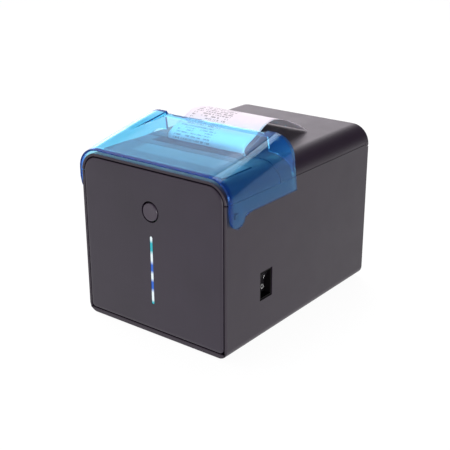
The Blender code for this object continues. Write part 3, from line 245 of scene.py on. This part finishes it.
def make_paper(name, printed):
    """Thermal paper: smooth, faintly mottled, and on the receipt rows of marks that read as no text."""
    shader = Shader(name)
    place = shader.add("TexCoord").outputs["Object"]
    base = varied(shader, place, PAPER, 160.0, 0.015)
    fibres = shader.add("TexNoise", Vector=place, Scale=2500.0, Detail=3.0)
    bump = shader.add("Bump", Height=fibres.outputs["Fac"], Strength=0.15, Distance=0.00002)
    if printed:
        base = printed_rows(shader, base)
    surface = shader.add("BsdfPrincipled", Base_Color=base, Roughness=0.5, Normal=bump.outputs["Normal"])
    through = shader.add("BsdfTranslucent", Color=rgba(PAPER))
    both = shader.add("MixShader", Fac=PAPER_GLOW, i1=surface.outputs["BSDF"], i2=through.outputs["BSDF"])
    return shader.finish(both.outputs["Shader"])


def printed_rows(shader, base):
    """Rows of short strokes across the left part of the strip, from its map of x and length."""
    spot = shader.add("SeparateXYZ", Vector=shader.add("UVMap", {"uv_map": "strip"}).outputs["UV"])
    across, along = spot.outputs["X"], spot.outputs["Y"]

    def maths(operation, a, b=0.0, c=0.0):
        return shader.add("Math", {"operation": operation}, i0=a, i1=b, i2=c).outputs["Value"]

    row = maths("DIVIDE", along, LINE_PITCH)
    number = maths("FLOOR", row)
    in_row = maths("LESS_THAN", maths("FRACT", row), 0.52)
    inside = maths("MULTIPLY", maths("GREATER_THAN", across, PRINT_LEFT),
                   maths("LESS_THAN", across, PRINT_RIGHT))

    def strokes(width, seed, share):
        cell = shader.add("CombineXYZ", X=maths("FLOOR", maths("DIVIDE", across, width)), Y=number, Z=seed)
        value = shader.add("TexWhiteNoise", {"noise_dimensions": "3D"}, Vector=cell.outputs["Vector"])
        return maths("LESS_THAN", value.outputs["Value"], share)

    words = strokes(0.0062, 3.0, 0.86)
    letters = strokes(0.0008, 11.0, 0.70)
    grain = shader.add("TexNoise", Vector=shader.add("TexCoord").outputs["Object"], Scale=1500.0, Detail=1.0)
    faded = maths("GREATER_THAN", grain.outputs["Fac"], 0.40)
    ink = maths("MULTIPLY", maths("MULTIPLY", words, letters), maths("MULTIPLY", in_row, inside))
    ink = maths("MULTIPLY", ink, maths("MULTIPLY", faded, 0.85))
    mixed = shader.add("Mix", {"data_type": "RGBA"}, i0=ink, i6=base, i7=rgba(INK))
    return mixed.outputs[2]


def make_card():
    """Wound grey-brown card."""
    shader = Shader("card")
    place = shader.add("TexCoord").outputs["Object"]
    base = varied(shader, place, (0.40, 0.33, 0.25), 240.0, 0.2)
    surface = shader.add("BsdfPrincipled", Base_Color=base, Roughness=0.8)
    return shader.finish(surface.outputs["BSDF"])


DARK = (0.016, 0.0085, 0.019)   # the case's plastic
# painted sheen: the paler field stands in for the light the cover reflects under the hood
COVER_PAINTED_SHEEN = (0.115, 0.11, 0.12)
COVER_HALF = 0.042              # half the width of the cover's field of painted sheen
COVER_FRONT = -0.077            # y of the field's front edge
COVER_SEAM = 0.0005             # half the width of the seam that parts it


def make_cover():
    """The access cover: case plastic with a paler field of painted sheen, parted by a thin seam."""
    shader = Shader("lit_cover")
    place = shader.add("TexCoord").outputs["Object"]
    spot = shader.add("SeparateXYZ", Vector=place)
    aside = shader.add("Math", {"operation": "ABSOLUTE"}, i0=spot.outputs["X"]).outputs["Value"]
    sheen_field = shader.add("Math", {"operation": "LESS_THAN"}, i0=aside, i1=COVER_HALF).outputs["Value"]
    behind = shader.add("Math", {"operation": "GREATER_THAN"}, i0=spot.outputs["Y"], i1=COVER_FRONT)
    seam = shader.add("Math", {"operation": "GREATER_THAN"}, i0=aside, i1=COVER_SEAM)
    for mask in (behind, seam):
        product = shader.add("Math", {"operation": "MULTIPLY"}, i0=sheen_field, i1=mask.outputs["Value"])
        sheen_field = product.outputs["Value"]
    # inside the field the colour is the painted sheen, elsewhere the case plastic
    base = shader.add("Mix", {"data_type": "RGBA"}, i0=sheen_field, i6=varied(shader, place, DARK, 22.0, 0.06),
                      i7=varied(shader, place, COVER_PAINTED_SHEEN, 22.0, 0.06))
    pores = shader.add("TexNoise", Vector=place, Scale=2500.0, Detail=2.0)
    bump = shader.add("Bump", Height=pores.outputs["Fac"], Strength=0.35, Distance=0.00002)
    surface = shader.add("BsdfPrincipled", Base_Color=base.outputs[2], Roughness=0.42,
                         Normal=bump.outputs["Normal"])
    return shader.finish(surface.outputs["BSDF"])


materials = {
    "case": moulded("case", DARK, 0.46, streaks=0.08),
    "panel": moulded("panel", (0.0165, 0.0100, 0.0220), 0.44, spread=0.12, streaks=0.12),
    "button": moulded("button", (0.040, 0.029, 0.046), 0.40, grain=0.0006, depth=0.00001),
    "light": make_light(),
    "hood": make_hood_plastic(),
    "black_plastic": moulded("black_plastic", (0.006, 0.006, 0.007), 0.5),
    "rocker": moulded("rocker", (0.010, 0.009, 0.011), 0.25, depth=0.000004),
    "socket_metal": metal("socket_metal", (0.60, 0.61, 0.62), 0.28),
    "rubber": moulded("rubber", (0.012, 0.012, 0.012), 0.8, grain=0.0008, depth=0.00005, gloss=0.3),
    "steel": metal("steel", (0.56, 0.57, 0.58), 0.32),
    "motor": metal("motor", (0.35, 0.36, 0.37), 0.42),
    "aluminium": metal("aluminium", (0.70, 0.71, 0.72), 0.36),
    "nylon": moulded("nylon", (0.74, 0.73, 0.69), 0.42, spread=0.03),
    "board": make_board(),
    "paper": make_paper("paper", printed=False),
    "printed_paper": make_paper("printed_paper", printed=True),
    "card": make_card(),
    "lit_cover": make_cover(),
    # black plastic painted darker still and dulled: painted shade inside the switch's opening
    "black_and_painted_shade": moulded("black_and_painted_shade", (0.0015, 0.001, 0.0015), 0.6, gloss=0.1),
    "mark": moulded("mark", (0.55, 0.55, 0.55), 0.5, spread=0.02),
}


# ---------------------------------------------------------------- frame nodes
WELD_REACH = 0.000002
FLAT_ANGLE = radians(0.6)       # faces this close to level are merged
LEVEL = 0.00005                 # how close to the front a vertex counts as on it
FILLETS = {"case_shell": 0.0008, "top_front_cover": 0.0008}
RIM_CLEAR = 0.015               # half the width about the middle that no fillet touches


def front_rim(node):
    """A vertex group of the outer front edge, clear of the holes in the middle."""
    group = node.vertex_groups.new(name="front_rim")
    low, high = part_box(node.name)
    group.add([v.index for v in node.data.vertices if v.co.y < low.y + LEVEL and abs(v.co.x) > RIM_CLEAR],
              1.0, "REPLACE")
    return group


def dress(name, slot, bevel):
    """Materials on a frame node, its edges rounded off and its curved faces shaded smooth."""
    node = nodes[name]
    mesh = node.data
    if "custom_normal" in mesh.attributes:
        mesh.attributes.remove(mesh.attributes["custom_normal"])
    mesh.materials.clear()
    mesh.materials.append(materials[slot])
    mesh.shade_smooth()
    weld = node.modifiers.new("weld", "WELD")
    weld.merge_threshold = WELD_REACH
    flat = node.modifiers.new("flat", "DECIMATE")
    flat.decimate_type = "DISSOLVE"
    flat.angle_limit = FLAT_ANGLE
    if name in FILLETS:
        fillet = node.modifiers.new("fillet", "BEVEL")
        fillet.limit_method = "VGROUP"
        fillet.vertex_group = front_rim(node).name
        fillet.width = FILLETS[name]
        fillet.segments = 4
    edges = node.modifiers.new("edges", "BEVEL")
    edges.width = bevel
    edges.segments = 2
    edges.limit_method = "ANGLE"
    edges.angle_limit = radians(32)
    normals = node.modifiers.new("normals", "WEIGHTED_NORMAL")
    normals.weight = 100


SMALL_EDGE = 0.00012
CASE_EDGE = 0.0004
EDGES = {"case": CASE_EDGE, "panel": CASE_EDGE, "hood": 0.0004, "button": 0.0003, "rocker": 0.0003,
         "rubber": 0.0003}
OWN_LOOKS = {"cutter_access_cover": "lit_cover", "switch_housing": "black_and_painted_shade"}
for row in frame["record"]["subparts"]:
    node_name, slot_name = row["node"], row["material_slot"]
    dress(node_name, OWN_LOOKS.get(node_name, slot_name), EDGES.get(slot_name, SMALL_EDGE))


# ---------------------------------------------------------------- pieces
def place_piece(name, mesh, body, material, stands_for=()):
    piece = bpy.data.objects.new(name, mesh)
    collection.objects.link(piece)
    mesh.materials.clear()
    mesh.materials.append(materials[material])
    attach(piece, body)
    if stands_for:
        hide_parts(*stands_for)
    return piece


# The strip's line behind the slot: distance back from the slot, height above the case's top.
STRIP_LINE = ((0.0, -0.0022), (0.0008, 0.0036), (0.0056, 0.0072), (0.0117, 0.0100), (0.0204, 0.0145),
              (0.0290, 0.0186), (0.0370, 0.0204), (0.0440, 0.0200), (0.0520, 0.0180), (0.0610, 0.0150),
              (0.0710, 0.0108), (0.0800, 0.0066), (0.0910, 0.0006))
STRIP_STEPS = 8
STRIP_COLUMNS = 24
SLOT_AHEAD = 0.0006             # the slot's middle, ahead of the lid's front edge
STRIP_THICKNESS = 0.00012
STRIP_LIFT = 0.0002             # above the frame's line, within its solid


def smooth_line(points, steps):
    """Points along a smooth curve through the given ones."""
    ends = [2 * Vector(points[0]) - Vector(points[1]), *map(Vector, points),
            2 * Vector(points[-1]) - Vector(points[-2])]
    line = []
    for before, start, end, after in zip(ends, ends[1:], ends[2:], ends[3:]):
        for i in range(steps):
            t = i / steps
            line.append(0.5 * (2 * start + (end - before) * t
                               + (2 * before - 5 * start + 4 * end - after) * t * t
                               + (3 * start - before - 3 * end + after) * t ** 3))
    return line + [ends[-2]]


def make_receipt():
    """The printed strip: out of the slot, over in an arch and down to the lid."""
    low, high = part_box("receipt")
    slot_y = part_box("rear_lid")[0].y - SLOT_AHEAD
    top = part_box("rear_lid")[1].z
    line = smooth_line(STRIP_LINE, STRIP_STEPS)
    mesh = bpy.data.meshes.new("printed_receipt")
    shape = bmesh.new()
    strip = shape.loops.layers.uv.new("strip")
    length, rows, lengths = 0.0, [], []
    for i, spot in enumerate(line):
        length += (spot - line[i - 1]).length if i else 0.0
        row = []
        for j in range(STRIP_COLUMNS + 1):
            x = low.x + (high.x - low.x) * j / STRIP_COLUMNS
            row.append(shape.verts.new((x, slot_y + spot.x, top + spot.y + STRIP_LIFT)))
        rows.append(row)
        lengths.append(length)
    for i in range(len(rows) - 1):
        for j in range(STRIP_COLUMNS):
            face = shape.faces.new((rows[i][j], rows[i][j + 1], rows[i + 1][j + 1], rows[i + 1][j]))
            face.smooth = True
            for loop, k in zip(face.loops, (i, i, i + 1, i + 1)):
                loop[strip].uv = (loop.vert.co.x, lengths[k])
    shape.to_mesh(mesh)
    shape.free()
    piece = place_piece("printed_receipt", mesh, "lid", "printed_paper", ["receipt"])
    thick = piece.modifiers.new("thickness", "SOLIDIFY")
    thick.thickness = STRIP_THICKNESS
    thick.offset = 0.0


MARK_SHIFT = 0.0034             # the marks sit behind the rocker's middle
MARK_THICKNESS = 0.00022
ROCKER_REST = radians(10)
ROCKER_MIDDLE_OUT, ROCKER_END_OUT = 0.0034, 0.0050    # its face, out from the pivot
RING_PLACE, RING_WIDTH, RING_HEIGHT, RING_SIDES = -0.0045, 0.0016, 0.0019, 32
BAR_FOOT, BAR_TOP = 0.0030, 0.0062


def rocker_marks():
    """A ring and a bar set into the rocker's two faces."""
    low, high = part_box("power_rocker")
    pivot = next(joint for joint in frame["joints"] if joint["name"] == "power_rocker_tilt")["pos_m"]
    middle = (low.y + high.y) / 2 + MARK_SHIFT
    up_end = (high.z - low.z) / 2

    def spot(across, up):
        out = ROCKER_MIDDLE_OUT + (ROCKER_END_OUT - ROCKER_MIDDLE_OUT) * abs(up) / up_end
        return Vector((pivot[0] + out * cos(ROCKER_REST) + up * sin(ROCKER_REST), middle + across,
                       pivot[2] - out * sin(ROCKER_REST) + up * cos(ROCKER_REST), 1.0))

    turns = [2 * pi * i / RING_SIDES for i in range(RING_SIDES)]
    ring = [spot(RING_WIDTH * sin(turn), RING_PLACE + RING_HEIGHT * cos(turn)) for turn in turns]
    bar = [spot(0.0, BAR_FOOT), spot(0.0, BAR_TOP)]
    for name, points, closed in (("rocker_ring", ring, True), ("rocker_bar", bar, False)):
        curve = bpy.data.curves.new(name, "CURVE")
        curve.dimensions = "3D"
        curve.bevel_depth = MARK_THICKNESS
        curve.bevel_resolution = 2
        curve.use_fill_caps = True
        line = curve.splines.new("POLY")
        line.points.add(len(points) - 1)
        for point, place in zip(line.points, points):
            point.co = place
        line.use_cyclic_u = closed
        place_piece(name, curve, "rocker", "mark")


SLOT_EDGE = (0.094, 0.0105, 0.0008)
SLOT_EDGE_GAP = 0.0006          # between the strip and the cover's rear edge


def make_slot_edge():
    """The black strip along the front of the paper slot."""
    low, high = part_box("top_front_cover")
    mesh = bpy.data.meshes.new("slot_edge")
    shape = bmesh.new()
    middle = Matrix.Translation((0, high.y - SLOT_EDGE[1] / 2 - SLOT_EDGE_GAP, high.z))
    bmesh.ops.create_cube(shape, size=1.0, matrix=middle @ Matrix.Diagonal((*SLOT_EDGE, 1)))
    shape.to_mesh(mesh)
    shape.free()
    piece = place_piece("slot_edge", mesh, "root", "black_and_painted_shade")
    edge = piece.modifiers.new("edge", "BEVEL")
    edge.width = SLOT_EDGE[2] / 3
    edge.segments = 2


HOOD_ARCH = 0.0022              # how far the hood's shoulders stand above their straight line
HOOD_CUTS = 24
SHOULDER_CUTS = 4
ARCH_INNER, ARCH_OUTER = 0.046, 0.0750
ARCH_REAR = 0.0075              # the top's rear edge, ahead of the sides' rear corners
ARCH_FOOT, ARCH_TOP = 0.126, 0.142


def eased(value, start, end):
    share = min(1.0, max(0.0, (value - start) / (end - start)))
    return share * share * (3 - 2 * share)


def make_hood():
    """The clear hood, its shoulders arched a little between front and rear."""
    low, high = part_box("splash_cover")
    mesh = bpy.data.meshes.new("clear_hood")
    shape = bmesh.new()
    shape.from_mesh(nodes["splash_cover"].data)
    bmesh.ops.remove_doubles(shape, verts=shape.verts, dist=WELD_REACH)
    bmesh.ops.dissolve_limit(shape, angle_limit=FLAT_ANGLE, verts=shape.verts, edges=shape.edges)
    cuts = [((0, low.y + (high.y - low.y) * i / HOOD_CUTS, 0), (0, 1, 0)) for i in range(1, HOOD_CUTS)]
    cuts += [((side * (ARCH_INNER + (ARCH_OUTER - ARCH_INNER) * i / SHOULDER_CUTS), 0, 0), (1, 0, 0))
             for side in (-1, 1) for i in range(SHOULDER_CUTS + 1)]
    for place, way in cuts:
        everything = [*shape.verts, *shape.edges, *shape.faces]
        bmesh.ops.bisect_plane(shape, geom=everything, plane_co=place, plane_no=way)
    for vertex in shape.verts:
        share = min(1.0, (vertex.co.y - low.y) / (high.y - ARCH_REAR - low.y))
        lift = HOOD_ARCH * 4 * share * (1 - share) * eased(abs(vertex.co.x), ARCH_INNER, ARCH_OUTER)
        vertex.co.z += lift * eased(vertex.co.z, ARCH_FOOT, ARCH_TOP)
    bmesh.ops.triangulate(shape, faces=[face for face in shape.faces if len(face.verts) > 4])
    for face in shape.faces:
        face.smooth = True
    for edge in shape.edges:
        edge.smooth = len(edge.link_faces) != 2 or edge.calc_face_angle(0.0) < radians(28)
    shape.to_mesh(mesh)
    shape.free()
    piece = place_piece("clear_hood", mesh, "hood", "hood", ["splash_cover"])
    edge = piece.modifiers.new("edge", "BEVEL")
    edge.width = EDGES["hood"]
    edge.segments = 2
    edge.limit_method = "ANGLE"
    edge.angle_limit = radians(40)


PANEL_ROUND = 0.0032            # width of the panel's rounded border
PANEL_DROP = 0.0012             # how far the border falls back at its edge
PANEL_STEPS = 6
PANEL_EDGE = 0.0002
BUTTON_SIDE = 0.020             # half the width about the middle that holds the button and the light


def make_panel():
    """The front panel with a softly rounded border."""
    low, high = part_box("front_panel")
    mesh = bpy.data.meshes.new("front_skin")
    shape = bmesh.new()
    shape.from_mesh(nodes["front_panel"].data)
    bmesh.ops.remove_doubles(shape, verts=shape.verts, dist=WELD_REACH)
    bmesh.ops.dissolve_limit(shape, angle_limit=FLAT_ANGLE, verts=shape.verts, edges=shape.edges)

    def is_border(edge):
        middle = (edge.verts[0].co + edge.verts[1].co) / 2
        near_middle = abs(middle.x) < BUTTON_SIDE and low.z + BUTTON_SIDE < middle.z < high.z - BUTTON_SIDE
        level = all(abs(vertex.co.y - low.y) < LEVEL for vertex in edge.verts)
        return level and not near_middle and edge.calc_face_angle(0.0) > radians(60)

    known = set(shape.verts)
    bmesh.ops.bevel(shape, geom=[edge for edge in shape.edges if is_border(edge)], offset=PANEL_ROUND,
                    segments=PANEL_STEPS, profile=0.5, affect="EDGES", clamp_overlap=False)
    for vertex in set(shape.verts) - known:
        vertex.co.y = low.y + (vertex.co.y - low.y) * PANEL_DROP / PANEL_ROUND
    for face in shape.faces:
        face.smooth = True
    shape.normal_update()
    for edge in shape.edges:
        edge.smooth = len(edge.link_faces) != 2 or edge.calc_face_angle(0.0) < radians(35)
    shape.to_mesh(mesh)
    shape.free()
    piece = place_piece("front_skin", mesh, "root", "panel", ["front_panel"])
    edge = piece.modifiers.new("edge", "BEVEL")
    edge.width = PANEL_EDGE
    edge.segments = 2
    edge.limit_method = "ANGLE"
    edge.angle_limit = radians(40)


BUTTON_PLAY = 0.0007            # the cap is this much smaller than its guide, and sits low on the left
BUTTON_DISH = 0.0003
BUTTON_ROUNDING = 0.0011
BUTTON_LEFT, BUTTON_DOWN = 0.7, 0.6     # shares of the play
BUTTON_SIDES = 48
BUTTON_FACE = 0.0003            # depth of the vertices that give the cap's radius


def make_button():
    """The feed button's cap with rounded edges and a shallow dish."""
    low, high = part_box("feed_button")
    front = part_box("front_panel")[0].y
    middle = (low + high) / 2
    cap = [vertex.co for vertex in nodes["feed_button"].data.vertices if vertex.co.y < low.y + BUTTON_FACE]
    radius = max(Vector((spot.x - middle.x, spot.z - middle.z)).length for spot in cap) - BUTTON_PLAY
    mesh = bpy.data.meshes.new("button_cap")
    shape = bmesh.new()
    rings = []
    profile = [(radius, high.y), (radius, front + BUTTON_ROUNDING)]
    profile += [(radius - BUTTON_ROUNDING * (1 - cos(radians(angle))),
                 front + BUTTON_ROUNDING * (1 - sin(radians(angle)))) for angle in (30, 60, 90)]
    profile += [((radius - BUTTON_ROUNDING) * share, front + BUTTON_DISH * (1 - share * share))
                for share in (0.8, 0.6, 0.4, 0.2)]
    for reach, depth in profile:
        turns = [2 * pi * i / BUTTON_SIDES for i in range(BUTTON_SIDES)]
        rings.append([shape.verts.new((middle.x - BUTTON_PLAY * BUTTON_LEFT + reach * cos(turn), depth,
                                       middle.z - BUTTON_PLAY * BUTTON_DOWN + reach * sin(turn)))
                      for turn in turns])
    for outer, inner in zip(rings, rings[1:]):
        for i in range(BUTTON_SIDES):
            after = (i + 1) % BUTTON_SIDES
            shape.faces.new((outer[i], outer[after], inner[after], inner[i])).smooth = True
    shape.faces.new(rings[-1]).smooth = True
    shape.faces.new(reversed(rings[0]))
    bmesh.ops.recalc_face_normals(shape, faces=shape.faces)
    shape.to_mesh(mesh)
    shape.free()
    place_piece("button_cap", mesh, "button", "button", ["feed_button"])


def make_springs():
    """The head's coil springs, as steel pieces of their own in place of the imported ones."""
    for name in ("head_spring_left", "head_spring_right"):
        mesh = nodes[name].data.copy()
        mesh.name = name + "_coil"
        piece = place_piece(name + "_coil", mesh, "root", "steel", [name])
        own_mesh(piece)


make_receipt()
rocker_marks()
make_slot_edge()
make_hood()
make_panel()
make_button()
make_springs()


# ---------------------------------------------------------------- floor and lights
FLOOR_GLOW = 0.96               # the floor is a lit white table
FLOOR_PAINT = 0.08
FLOOR_DROP = 0.0003
SKY_SHADE = 0.06
SKY_TINT = (1.0, 0.93, 1.0)
# Soft glows in the sky: degrees from the rear toward the left, elevation, reach, core, strength.
GLOWS = ((42, 13, 29, 5, 2.7), (144, 25, 42, 8, 1.5))


def make_floor():
    mesh = bpy.data.meshes.new("floor")
    shape = bmesh.new()
    bmesh.ops.create_grid(shape, x_segments=1, y_segments=1, size=20.0)
    shape.to_mesh(mesh)
    shape.free()
    floor = bpy.data.objects.new("floor", mesh)
    floor.location.z = -FLOOR_DROP
    shader = Shader("floor")
    paint = shader.add("BsdfDiffuse", Color=rgba((FLOOR_PAINT,) * 3))
    glow = shader.add("Emission", Color=rgba((1.0, 1.0, 1.0)), Strength=FLOOR_GLOW)
    both = shader.add("AddShader", i0=paint.outputs["BSDF"], i1=glow.outputs["Emission"])
    mesh.materials.append(shader.finish(both.outputs["Shader"]))
    collection.objects.link(floor)


def area_light(name, place, aim, width, height, power):
    data = bpy.data.lights.new(name, "AREA")
    data.shape = "RECTANGLE"
    data.size, data.size_y = width, height
    data.energy = power
    light = bpy.data.objects.new(name, data)
    light.location = place
    light.rotation_euler = (Vector(aim) - Vector(place)).to_track_quat("-Z", "Y").to_euler()
    light.visible_camera = False
    collection.objects.link(light)


def make_world():
    """A dim room with a soft glow behind the left side and one over the left front.

    To the camera its far walls look white.
    """
    world = bpy.data.worlds.new("studio")
    world.use_nodes = True
    tree = world.node_tree
    sky = tree.nodes["Background"]
    place = tree.nodes.new("ShaderNodeTexCoord").outputs["Generated"]
    strength = None
    for azimuth, elevation, reach, core, power in GLOWS:
        toward = tree.nodes.new("ShaderNodeVectorMath")
        toward.operation = "DOT_PRODUCT"
        toward.inputs[1].default_value = (-sin(radians(azimuth)) * cos(radians(elevation)),
                                          cos(radians(azimuth)) * cos(radians(elevation)),
                                          sin(radians(elevation)))
        tree.links.new(place, toward.inputs[0])
        glow = tree.nodes.new("ShaderNodeMapRange")
        glow.interpolation_type = "SMOOTHSTEP"
        glow.inputs["From Min"].default_value = cos(radians(reach))
        glow.inputs["From Max"].default_value = cos(radians(core))
        glow.inputs["To Max"].default_value = power
        tree.links.new(toward.outputs["Value"], glow.inputs["Value"])
        total = tree.nodes.new("ShaderNodeMath")
        total.inputs[0].default_value = SKY_SHADE
        if strength:
            tree.links.new(strength, total.inputs[0])
        tree.links.new(glow.outputs["Result"], total.inputs[1])
        strength = total.outputs["Value"]
    camera_ray = tree.nodes.new("ShaderNodeLightPath").outputs["Is Camera Ray"]
    shade = tree.nodes.new("ShaderNodeMapRange")
    shade.inputs["To Max"].default_value = 1.0
    tree.links.new(camera_ray, shade.inputs["Value"])
    tree.links.new(strength, shade.inputs["To Min"])
    tree.links.new(shade.outputs["Result"], sky.inputs["Strength"])
    colour = tree.nodes.new("ShaderNodeMix")
    colour.data_type = "RGBA"
    colour.inputs[6].default_value = rgba(SKY_TINT)
    colour.inputs[7].default_value = rgba((1.0, 1.0, 1.0))
    tree.links.new(camera_ray, colour.inputs[0])
    tree.links.new(colour.outputs[2], sky.inputs["Color"])
    bpy.context.scene.world = world


CENTRE = (0.0, 0.0, 0.07)
make_world()
make_floor()
area_light("overhead", (-0.6, 0.42, 1.72), CENTRE, 1.6, 1.4, 32.0)
area_light("right_front", (1.5, -1.1, 0.16), CENTRE, 0.5, 0.3, 22.0)
make_camera()
bpy.context.scene.view_settings.view_transform = "Standard"
